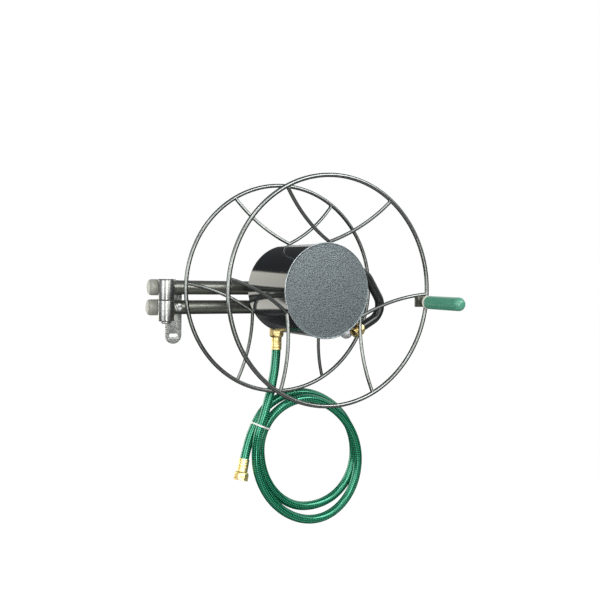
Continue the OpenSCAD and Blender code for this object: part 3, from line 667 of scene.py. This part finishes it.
def threadedNut(spec):
    # Eight soft lugs stand up round the nut, r + height * cos(8a)^2, and its mouth has a thread: a wave that
    # climbs one pitch a turn.
    def wave(t, r, a):
        lug = np.clip(np.cos(spec["lugs"] * a), 0.0, 1.0) ** 2
        rise = np.clip((t - spec["lugSpan"][0]) / spec["lugSlope"][0], 0.0, 1.0)
        fall = np.clip((spec["lugSpan"][1] - t) / spec["lugSlope"][1], 0.0, 1.0)
        outer = r + spec["lugHeight"] * lug * rise * fall
        turn = 0.5 + 0.5 * np.sin(2.0 * math.pi * t / spec["threadPitch"] - a)
        inner = r - spec["threadDepth"] * turn
        low, high = spec["threadRadius"]
        mouth = (r < high) & (r > low) & (t > spec["threadFrom"])
        return np.where(r > spec["lugPast"], outer, np.where(mouth, inner, r))
    profile = np.concatenate([spec["nutStart"], level(*spec["nutWall"]), spec["nutLip"],
                              level(*spec["nutBore"]), spec["nutEnd"]])
    return profile, wave


def makeCoupling(end, way, names, stands, nutFinish):
    # Ferrule and nut are profiles turned about the hose's way out of its end face.
    profile, wave = crimpedFerrule(coupling)
    ferrule = makePiece(names[0], [lathe(profile, end, way, sides=96, wave=wave, closed=True)], sharp=40.0)
    settle(ferrule, "swing_arm", "brass", finishes["brass"], stands[0])
    profile, wave = threadedNut(coupling)
    nut = makePiece(names[1], [lathe(profile, end, way, sides=128, wave=wave, closed=True)], sharp=42.0)
    settle(nut, "swing_arm", "brass", finishes[nutFinish], stands[1])
    return ferrule, nut


hoseTop = np.array(hose["drop"][0], float)
hoseEnd = np.array(hose["tail"][-1], float)
endWay = unit(hoseEnd - np.array(hose["tail"][-2], float))
topFerrule, topNut = makeCoupling(hoseTop, (0, 0, 1), ("inletFerrule", "inletNut"),
                                  ("leader_ferrule", "leader_nut"), "oldBrass")
endFerrule, endNut = makeCoupling(hoseEnd, endWay, ("endFerrule", "endNut"),
                                  ("end_ferrule", "end_coupling"), "brass")
print("couplings: made")

# Drum: its shell stays as it is, and the front disc gets its rolled rim. The profile is (y from the reel's
# middle, radius).
drum = {
    "disc": [(-89.6, 0.0), (-89.6, 104.4), (-89.9, 105.6), (-90.8, 106.35), (-92.0, 106.4), (-92.9, 105.9),
             (-93.1, 104.9), (-92.75, 103.9), (-92.5, 102.6), (-92.45, 80.0), (-92.3, 40.0), (-92.25, 0.0)],
    "rounding": 0.6,
    "rimFrom": 104.9,
}


def makeFrontDisc(spec):
    # The disc is one turned profile. Its rolled rim is lighter, partly worn paint and partly a painted
    # highlight: faces whose middle lies past rimFrom have the rim's finish.
    profile = roundedProfile(spec["disc"], [spec["rounding"]] * len(spec["disc"]), steps=4)
    disc = makePiece("frontDisc", [lathe(profile, reelCentre, (0, 1, 0), sides=180)], sharp=30.0)
    settle(disc, "reel", "hammered_enamel", finishes["disc"], "front_disc")
    disc.data.materials.append(finishes["rim"])
    middles = np.empty(len(disc.data.polygons) * 3)
    disc.data.polygons.foreach_get("center", middles)
    away = middles.reshape(-1, 3) / mm - reelCentre
    # faces on the rolled edge take the lighter rim finish: worn paint and a painted highlight
    onRim = np.hypot(away[:, 0], away[:, 2]) > spec["rimFrom"]
    disc.data.polygons.foreach_set("material_index", onRim.astype(np.int32))


makeFrontDisc(drum)
print("drum: front disc made")

# Hinge: barrels with turned chamfers, and the pin with its head and the groove for its clip. Heights are z.
hinge = {
    "place": (-280.0, -54.5, 0.0),
    "radius": 19.0,
    "bore": 11.5,
    "chamfer": 0.9,
    "rounding": 0.5,
    "barrels": {
        "lowerBarrel": ("wall_frame", "lower_barrel", -20.0, 28.0),
        "upperBarrel": ("swing_arm", "upper_barrel", 29.0, 75.0),
    },
    "pin": [(-26.0, 0.0), (-26.0, 8.53), (-25.0, 9.53), (-24.0, 9.53), (-23.9, 8.1), (-22.3, 8.1),
            (-22.2, 9.53), (75.2, 9.53), (75.2, 18.6), (75.7, 19.0), (76.1, 19.0), (76.8, 18.2), (76.8, 0.0)],
}


def makeHinge(spec):
    # Barrels and pin are profiles turned about the hinge's upright axis.
    bore = spec["bore"]
    r = spec["radius"]
    c = spec["chamfer"]
    for name, (body, node, low, high) in spec["barrels"].items():
        corners = [(low, bore), (low, r - c), (low + c, r), (high - c, r), (high, r - c), (high, bore)]
        profile = roundedProfile(corners, [spec["rounding"]] * len(corners), steps=4)
        wall = lathe(profile, spec["place"], (0, 0, 1), sides=96, closed=True)
        settle(makePiece(name, [wall], sharp=30.0), body, "frame_enamel", finishes["barrel"], node)
    pin = makePiece("hingePin", [lathe(spec["pin"], spec["place"], (0, 0, 1), sides=96)], sharp=30.0)
    settle(pin, "wall_frame", "frame_enamel", finishes["frame"], "hinge_pin")


makeHinge(hinge)
print("hinge: made")

# Outlet pipe: straight runs and bends in one plane square to the reel's axis. Each step is (length) or, for a
# bend to the right, (radius, degrees).
outlet = {
    "depth": -70.0,
    "lean": 51.0,
    "start": 21.0,
    "steps": [(46,), (38, 61), (10,), (50, 35), (45,), (38, 94), (36,)],
    "radius": 10.65,
    "every": 1.6,
    "sides": 40,
}


def outletLine(spec):
    # A straight run goes on by length * (sin h, cos h), and a bend goes round centre + radius * (-cos h,
    # sin h); the heading h turns from +Z to +X. The whole line is then turned by lean.
    x, z, h = 0.0, spec["start"], 0.0
    line = [np.array([[x, z]])]
    for step in spec["steps"]:
        if len(step) == 1:
            w = np.linspace(0.0, 1.0, max(2, int(step[0] / spec["every"])) + 1)[1:, None]
            run = np.array([x, z]) + w * step[0] * np.array([math.sin(h), math.cos(h)])
        else:
            turn = math.radians(step[1])
            centre = np.array([x + step[0] * math.cos(h), z - step[0] * math.sin(h)])
            a = h + turn * np.linspace(0.0, 1.0, max(3, int(step[0] * turn / spec["every"])) + 1)[1:]
            run = centre + step[0] * np.stack([-np.cos(a), np.sin(a)], axis=1)
            h += turn
        line.append(run)
        x, z = run[-1]
    flat = np.concatenate(line)
    lean = math.radians(spec["lean"])
    wx = flat[:, 0] * math.cos(lean) + flat[:, 1] * math.sin(lean)
    wz = -flat[:, 0] * math.sin(lean) + flat[:, 1] * math.cos(lean)
    way = np.array([math.sin(h + lean), 0.0, math.cos(h + lean)])
    return reelCentre + np.stack([wx, np.full_like(wx, spec["depth"]), wz], axis=1), way


outletRun, outletWay = outletLine(outlet)
outletPipe = makePiece("outletPipe", [tubeAlong(outletRun, outlet["radius"], outlet["sides"])], sharp=40.0)
settle(outletPipe, "reel", "drum_enamel", finishes["pipe"], "outlet_pipe")

# Both brass fittings have a hexagon for the spanner and the outer hose thread. Profiles are (distance from
# the fitting's foot, radius), and a wall is (from, to, points).
hoseThread = {
    "radius": 13.2,
    "depth": 0.75,
    "pitch": 2.2,
    "runOut": 0.8,
    "margin": 0.1,
}
outletFitting = {
    "start": [(-3.0, 10.7), (-3.0, 12.2), (-2.4, 12.7), (-0.4, 12.7), (0.5, 13.4), (1.4, 15.6), (8.4, 15.6),
              (9.5, 13.6), (9.7, 12.0), (11.4, 12.0)],
    "wall": (11.6, 23.0, 70),
    "end": [(23.5, 12.2), (23.5, 8.6), (22.6, 7.5), (2.0, 7.4), (0.2, 7.4), (0.0, 10.6)],
    "hex": (0.9, 9.1),
    "flat": 13.5,
    "thread": (11.6, 23.0),
}
inletFitting = {
    "foot": (3.0, -61.2, -53.5),
    "start": [(0.0, 8.6), (0.0, 12.2)],
    "wall": (0.5, 16.8, 90),
    "end": [(17.2, 12.0), (18.8, 12.0), (19.2, 13.6), (20.2, 16.4), (27.8, 16.4), (29.0, 14.0), (29.4, 12.9),
            (36.2, 12.9), (37.0, 12.3), (37.0, 10.7), (27.2, 10.6), (27.0, 8.0), (1.2, 7.9)],
    "hex": (19.0, 29.0),
    "flat": 14.3,
    "thread": (0.6, 16.6),
}


def fittingWave(spec):
    # The hexagon, and a thread cut into the wall: a wave that climbs one pitch a turn and runs out at both
    # ends.
    hexed = hexWave(spec["hex"], spec["flat"])
    low, high = spec["thread"]
    wall = hoseThread["radius"] - hoseThread["margin"]

    def wave(t, r, a):
        turn = 0.5 + 0.5 * np.sin(2.0 * math.pi * t / hoseThread["pitch"] - a)
        cut = hoseThread["depth"] * (1.0 - turn) * np.clip((t - low) / hoseThread["runOut"], 0.0, 1.0)
        cut = cut * np.clip((high - t) / hoseThread["runOut"], 0.0, 1.0)
        inThread = (t > low) & (t < high) & (r > wall)
        return np.where(inThread, r - cut, hexed(t, r, a))
    return wave


def makeFitting(name, spec, foot, way, body, node):
    # A profile turned about the way the water goes: its foot, the threaded wall and its mouth.
    profile = np.concatenate([spec["start"], level(*spec["wall"], hoseThread["radius"]), spec["end"]])
    grid = lathe(profile, foot, way, sides=120, wave=fittingWave(spec), closed=True)
    settle(makePiece(name, [grid], sharp=32.0), body, "brass", finishes["oldBrass"], node)


makeFitting("outletFitting", outletFitting, outletRun[-1], outletWay, "reel", "outlet_fitting")
makeFitting("inletFitting", inletFitting, inletFitting["foot"], (0, 0, 1), "swing_arm", "inlet_fitting")
print("water way: made")

# Tube caps: a moulded cup pushed over each tube end, with a soft corner and a skirt that reaches the hinge.
# Each end is its face's x, the way in along the tube, and how far the skirt reaches.
caps = {
    "radius": 18.7,
    "tube": 16.75,
    "end": 6.0,
    "lip": 0.6,
    "rounding": [0.0, 9.0, 0.4, 0.3, 0.3, 0.4, 0.0],
    "rows": {
        "railCaps": ("wall_frame", "rail_caps", "rail", ((-315.0, 1.0, 27.0), (279.0, -1.0, 20.0))),
        "armCaps": ("swing_arm", "arm_caps", "arm", ((-315.0, 1.0, 22.0), (43.0, -1.0, 20.0))),
    },
}


def makeCaps(spec):
    # Each cap is a turned profile that starts in the middle of its end face and runs in along the tube.
    r = spec["radius"]
    lip = spec["lip"]
    for name, (body, node, tube, ends) in spec["rows"].items():
        y, z = tubes[tube]
        grids = []
        for x, way, reach in ends:
            corners = [(0.0, 0.0), (0.0, r), (reach - lip, r), (reach, r - lip), (reach, spec["tube"]),
                       (spec["end"], spec["tube"]), (spec["end"], 0.0)]
            profile = roundedProfile(corners, spec["rounding"], steps=9)
            grids.append(lathe(profile, (x, y, z), (way, 0, 0), sides=72))
        settle(makePiece(name, grids), body, "cap_grey", finishes["cap"], node)


makeCaps(caps)

# Plate bolts: a flanged head with a washer face, its hexagon and a dished top, and the shank that reaches the
# wall.
plateBolts = {
    "places": (-244.0, 244.0),
    "height": 10.5,
    "profile": [(0.0, 0.0), (0.0, 4.0), (36.6, 4.0), (36.6, 9.0), (37.2, 9.5), (39.6, 9.5), (40.3, 8.9),
                (40.5, 7.9), (40.9, 7.6), (44.4, 7.6), (45.4, 6.6), (45.7, 5.4), (45.2, 4.7), (44.6, 3.8),
                (44.5, 0.0)],
    "rounding": 0.25,
    "hex": (40.8, 45.0),
    "flat": 6.5,
}


def makePlateBolts(spec):
    # Both bolts are one profile turned about its axis, which points from the wall to the room.
    profile = roundedProfile(spec["profile"], [spec["rounding"]] * len(spec["profile"]), steps=3)
    wave = hexWave(spec["hex"], spec["flat"])
    feet = [(x, 0.0, spec["height"]) for x in spec["places"]]
    grids = [lathe(profile, foot, (0, -1, 0), sides=72, wave=wave) for foot in feet]
    settle(makePiece("plateBolts", grids, sharp=28.0), "wall_frame", "zinc", finishes["zinc"], "plate_bolts")


makePlateBolts(plateBolts)
print("caps and bolts: made")

# Crank: the nut that holds the rod to its block, and the pale collar that closes the grip's inner end.
# Distances run from the wall along the rod.
crank = {
    "rod": (239.0, 0.0, 33.5),
    "nut": [(344.5, 4.9), (344.5, 9.2), (352.2, 9.2), (352.9, 8.2), (352.9, 4.9)],
    "hex": (344.0, 353.0),
    "flat": 8.0,
    "collar": [(353.2, 5.3), (353.2, 14.3), (354.0, 15.1), (357.2, 15.1), (357.6, 14.6), (357.6, 8.3),
               (356.3, 8.2), (356.3, 5.3)],
}


def makeCrankTrim(spec):
    # Both are profiles turned about the rod, the nut's with a hexagon.
    wave = hexWave(spec["hex"], spec["flat"])
    nutGrid = lathe(spec["nut"], spec["rod"], (0, -1, 0), sides=72, wave=wave, closed=True)
    settle(makePiece("crankNut", [nutGrid], sharp=28.0), "reel", "zinc", finishes["zinc"])
    collarGrid = lathe(spec["collar"], spec["rod"], (0, -1, 0), sides=72, closed=True)
    settle(makePiece("gripCollar", [collarGrid], sharp=28.0), "crank_grip", "bush_plastic", finishes["bush"])


makeCrankTrim(crank)
print("crank: nut and collar made")

# Welds: fillets where the barrels meet the tubes and the tee meets the arm, and beads on the wires. A flange
# is the y of its ring and of its spokes' inner ends from the reel's middle, and its turn in degrees.
welds = {
    "bead": 2.0,
    "steps": 120,
    "tube": 16.7,
    "tee": 15.3,
    "barrels": {"lowerBarrelWeld": ("wall_frame", "rail"), "upperBarrelWeld": ("swing_arm", "arm")},
    "barrelRipples": 26,
    "teeRipples": 30,
    "flanges": ((-121.0, -85.3, -3.3), (121.0, 93.3, -0.5)),
    "ring": 249.25,
    "apex": 108.1,
    "spread": 32.0,
    "legs": {"inset": 5.2, "radius": 3.9, "bead": 1.1, "ripples": 7},
    "apexes": {"inset": 2.6, "radius": 3.6, "bead": 1.5, "ripples": 7},
    "closings": {"radius": 4.65, "bead": 0.7, "ripples": 8},
    "seedStep": 1.7,
}


def barrelLoop(spec, y, z):
    # Where an upright barrel cuts a level tube: b is the angle on the tube, off is how far that point lies
    # before the barrel's middle, and x = sqrt(radius^2 - off^2).
    s = fullTurn(spec["steps"])
    hx, hy = hinge["place"][:2]
    gap = y - hy
    most = math.acos((gap - hinge["radius"]) / spec["tube"])
    b = most * np.sin(s)
    off = gap - spec["tube"] * np.cos(b)
    x = np.sqrt(np.clip(hinge["radius"] ** 2 - off ** 2, 0.0, None)) * np.sign(np.cos(s))
    line = np.stack([hx + x, y - spec["tube"] * np.cos(b), z + spec["tube"] * np.sin(b)], axis=1)
    guide = np.stack([0.0 * b, -np.cos(b), np.sin(b)], axis=1)
    return line, guide


def teeLoop(spec):
    # Where the tee's round stub cuts the arm's tube: y = middle - sqrt(tube^2 - (tee * sin c)^2).
    c = fullTurn(spec["steps"])
    x = spec["tee"] * np.cos(c)
    z = spec["tee"] * np.sin(c)
    y = tubes["arm"][0] - np.sqrt(spec["tube"] ** 2 - z ** 2)
    line = np.stack([reelCentre[0] + x, y, reelCentre[2] + z], axis=1)
    guide = np.stack([np.cos(c), 0.0 * c, np.sin(c)], axis=1)
    return line, guide


def onFlange(angle, depth, radius):
    # A point of a flange: the reel's middle + (-sin * radius, depth, cos * radius).
    return reelCentre + np.array([-math.sin(angle) * radius, depth, math.cos(angle) * radius])


def wireWelds(spec):
    # One bead round each spoke's end where it meets its ring, one at each apex, and one where each ring was
    # closed.
    grids = []
    seed = 0.0

    def addBead(place, way, row):
        grids.append(weldRing(place, way, row["radius"], row["bead"], row["ripples"], seed))

    for ringDepth, apexDepth, turn in spec["flanges"]:
        for spoke in (0.0, 120.0, -120.0):
            middle = math.radians(turn + spoke)
            foot = onFlange(middle, apexDepth, spec["apex"])
            for leg in (-1.0, 1.0):
                tip = onFlange(middle + leg * math.radians(spec["spread"]), ringDepth, spec["ring"])
                way = unit(foot - tip)
                addBead(tip + spec["legs"]["inset"] * way, way, spec["legs"])
                seed += spec["seedStep"]
            out = np.array([-math.sin(middle), 0.0, math.cos(middle)])
            addBead(foot - spec["apexes"]["inset"] * out, out, spec["apexes"])
        addBead(reelCentre + np.array([0.0, ringDepth, -spec["ring"]]), (1, 0, 0), spec["closings"])
    return grids


def makeWelds(spec):
    # The three loops on the frame, then all beads on the wires as one piece.
    for name, (body, tube) in spec["barrels"].items():
        line, guide = barrelLoop(spec, *tubes[tube])
        bead = makePiece(name, [weldLoop(line, guide, spec["bead"], spec["barrelRipples"])])
        settle(bead, body, "frame_enamel", finishes["barrel"])
    line, guide = teeLoop(spec)
    tee = makePiece("teeWeld", [weldLoop(line, guide, spec["bead"], spec["teeRipples"])])
    settle(tee, "swing_arm", "frame_enamel", finishes["frame"])
    settle(makePiece("wireWelds", wireWelds(spec)), "reel", "wire_enamel", finishes["wire"])


makeWelds(welds)
print("welds: made")

# Flat parts with broken corners: body, slot, finish, the solid, and how wide its corners are broken.
flatParts = {
    "wallPlateLeft": ("wall_frame", "frame_enamel", "plate", "wall_plate_left", 0.7),
    "wallPlateRight": ("wall_frame", "frame_enamel", "plate", "wall_plate_right", 0.7),
    "crankBlock": ("reel", "wire_enamel", "frame", "crank_bracket", 0.8),
}
for partName, (partBody, partSlot, partFinish, partNode, breakWidth) in flatParts.items():
    settle(softened(partName, partNode, breakWidth), partBody, partSlot, finishes[partFinish], partNode)
print("plates and crank block: made")

# Solids that keep their shape and get their finish.
kept = {
    "frame": ["wall_rail", "swing_tube", "inlet_tee", "inlet_pipe"],
    "zinc": ["hinge_clip", "axle", "axle_clip", "crank_rod"],
    "bush": ["hinge_bushes", "hub_bush_front", "hub_bush_rear", "grip_sleeve"],
    "seal": ["collar_seals", "hose_washers", "thrust_washer"],
    "brass": ["water_collar"],
    "shell": ["drum_shell", "rear_disc", "inner_disc", "hub_tube"],
    "wire": ["front_ring", "rear_ring", "front_spoke_top", "front_spoke_left", "front_spoke_right",
             "rear_spoke_top", "rear_spoke_left", "rear_spoke_right"],
    "grip": ["grip"],
    "tie": ["hose_tie"],
}
for finishName, names in kept.items():
    for nodeName in names:
        solid = nodes[nodeName]
        solid.data.materials.clear()
        solid.data.materials.append(finishes[finishName])
print("kept solids: finished")

# Floor, sky and lamps, in metres.
stage = {
    "floor": -1.15,
    "size": 60.0,
    "points": 9,
    "grey": "#e8e8e6",
    "white": 0.9,
    "glow": 1.1,
    "sky": 0.3,
}
plainWhite = (1.0, 1.0, 1.0, 1.0)


def makeFloor(spec):
    # A level sheet of pale paper. To the camera it glows by the share white, so that it shows as pale as the
    # sky and still keeps the object's shadow.
    n = spec["points"]
    w = np.linspace(-spec["size"] / 2.0, spec["size"] / 2.0, n)
    x, y = np.meshgrid(w, w, indexing="ij")
    points = np.stack([x, y, np.full_like(x, spec["floor"])], axis=-1)
    mesh = bpy.data.meshes.new("floor")
    mesh.from_pydata(points.reshape(-1, 3).tolist(), [], gridFaces(n, n, False, False)[:, ::-1].tolist())
    floor = addObject("floor", mesh)
    material = bpy.data.materials.new("studioFloorPaper")
    tree = emptyTree(material)
    paper = addNode(tree, "ShaderNodeBsdfDiffuse", {"Color": linear(spec["grey"])})
    glow = addNode(tree, "ShaderNodeEmission", {"Color": plainWhite, "Strength": spec["glow"]})
    seen = addNode(tree, "ShaderNodeLightPath").outputs["Is Camera Ray"]
    part = addNode(tree, "ShaderNodeMath", {"operation": "MULTIPLY", 1: spec["white"]}, {0: seen})
    ways = {0: part.outputs[0], 1: paper.outputs[0], 2: glow.outputs[0]}
    both = addNode(tree, "ShaderNodeMixShader", None, ways)
    addNode(tree, "ShaderNodeOutputMaterial", None, {"Surface": both.outputs[0]})
    mesh.materials.append(material)


def makeSky(spec):
    # A white sky: 1 to the camera, in gloss and through glass, and dimmer, by the value sky, as a light.
    world = bpy.data.worlds.new("sky")
    scene.world = world
    tree = emptyTree(world)
    path = addNode(tree, "ShaderNodeLightPath")
    some = addNode(tree, "ShaderNodeMath", {"operation": "MAXIMUM"},
                   {0: path.outputs["Is Camera Ray"], 1: path.outputs["Is Glossy Ray"]})
    seen = addNode(tree, "ShaderNodeMath", {"operation": "MAXIMUM"},
                   {0: some.outputs[0], 1: path.outputs["Is Transmission Ray"]})
    levels = {"To Min": spec["sky"], "To Max": 1.0}
    strength = addNode(tree, "ShaderNodeMapRange", levels, {"Value": seen.outputs[0]})
    glow = addNode(tree, "ShaderNodeBackground", {"Color": plainWhite}, {"Strength": strength.outputs[0]})
    addNode(tree, "ShaderNodeOutputWorld", None, {"Surface": glow.outputs[0]})


lamps = {
    "near": {"place": (-0.75, -2.5, 0.45), "size": (0.5, 0.9), "watts": 11.0, "tint": "#fffefa"},
    "left": {"place": (-2.3, -1.15, 0.25), "size": (1.15, 1.5), "watts": 18.0, "tint": "#ffffff"},
    "front": {"place": (1.1, -2.3, 1.35), "size": (1.5, 1.0), "watts": 36.0, "tint": "#ffffff"},
    "top": {"place": (-0.9, -1.9, 1.95), "size": (1.2, 0.9), "watts": 27.0, "tint": "#ffffff"},
    "behind": {"place": (-0.95, 1.54, -0.01), "size": (1.2, 1.5), "watts": 17.5, "tint": "#fffdf2"},
}


def makeLamps(spec):
    # Each lamp is a rectangle that faces the reel's middle.
    for name, lamp in spec.items():
        data = bpy.data.lights.new(name, "AREA")
        data.shape = "RECTANGLE"
        data.size, data.size_y = lamp["size"]
        data.energy = lamp["watts"]
        data.color = linear(lamp["tint"])[:3]
        light = addObject(name, data)
        place = np.array(lamp["place"])
        back = unit(place - reelCentre * mm)
        right = unit(np.cross([0.0, 0.0, 1.0], back))
        light.matrix_world = placement(right, np.cross(back, right), back, place)
        light.visible_camera = False


# Studio cards, seen only in gloss. The dark ones keep the drum's enamel deep and give the barrels and the
# wires their dark side. The light ones are cameraBox, which draws the bright line along each wire, frontBox,
# a brighter strip to its right, and hoseStrip, the low strip that draws the bright line down the hose. Each
# is a sheet round the reel: its radius at the lower and upper edge, azimuths (0 in front of the wall, growing
# to the right) and heights. It glows at 1 where it doesn't say more.
cards = {
    "backFlag": {"radius": (2.4, 2.4), "turn": (157.0, 215.0), "height": (-1.1, 2.0), "grey": "#505254"},
    "rightFlag": {"radius": (2.7, 2.7), "turn": (28.0, 125.0), "height": (-1.1, 0.45), "grey": "#3c4046"},
    "leftFlag": {"radius": (2.7, 2.7), "turn": (-142.0, -100.0), "height": (-1.1, 1.2), "grey": "#b0b2b4"},
    "floorBack": {"radius": (0.02, 2.3), "turn": (90.0, 270.0), "height": (-1.1, -1.1), "grey": "#3c3e40"},
    "floorFront": {"radius": (0.02, 2.3), "turn": (-90.0, 90.0), "height": (-1.1, -1.1), "grey": "#b4b4b2"},
    "ceiling": {"radius": (0.02, 2.3), "turn": (0.0, 360.0), "height": (2.0, 2.0), "grey": "#9a9c9e"},
    "cameraBox": {"radius": (2.6, 2.6), "turn": (-45.0, 5.0), "height": (-0.2, 0.95), "grey": "#fffdf8",
                  "glow": 1.65},
    "lowFlag": {"radius": (2.7, 2.7), "turn": (-140.0, 125.0), "height": (-1.1, -0.2), "grey": "#34383c"},
    "hoseStrip": {"radius": (2.6, 2.6), "turn": (-24.0, -11.0), "height": (-1.1, -0.2), "grey": "#fffdf8",
                  "glow": 7.0},
    "frontBox": {"radius": (2.6, 2.6), "turn": (5.0, 27.0), "height": (0.06, 0.95), "grey": "#fffdf8",
                 "glow": 3.4},
}


cardRows = 25  # points along a card, which bends it round the reel
cardCols = 3


def makeCard(name, spec):
    # centre + radius * (sin azimuth, -cos azimuth), the radius and the height running from edge to edge.
    a = np.radians(np.linspace(*spec["turn"], cardRows))[:, None]
    w = np.linspace(0.0, 1.0, cardCols)[None, :]
    r = spec["radius"][0] + (spec["radius"][1] - spec["radius"][0]) * w
    z = spec["height"][0] + (spec["height"][1] - spec["height"][0]) * w + 0.0 * a
    x = reelCentre[0] * mm + r * np.sin(a)
    y = reelCentre[1] * mm - r * np.cos(a)
    mesh = bpy.data.meshes.new(name)
    points = np.stack([x, y, z], axis=-1).reshape(-1, 3)
    mesh.from_pydata(points.tolist(), [], gridFaces(cardRows, cardCols, False, False).tolist())
    piece = addObject(name, mesh)
    material = bpy.data.materials.new(name + "Felt")
    tree = emptyTree(material)
    shine = {"Color": linear(spec["grey"]), "Strength": spec.get("glow", 1.0)}
    felt = addNode(tree, "ShaderNodeEmission", shine)
    addNode(tree, "ShaderNodeOutputMaterial", None, {"Surface": felt.outputs[0]})
    mesh.materials.append(material)
    piece.visible_camera = False
    piece.visible_shadow = False
    piece.visible_diffuse = False


makeFloor(stage)
makeSky(stage)
makeLamps(lamps)
for cardName, card in cards.items():
    makeCard(cardName, card)
scene.view_settings.view_transform = "Standard"
print("stage: lit")
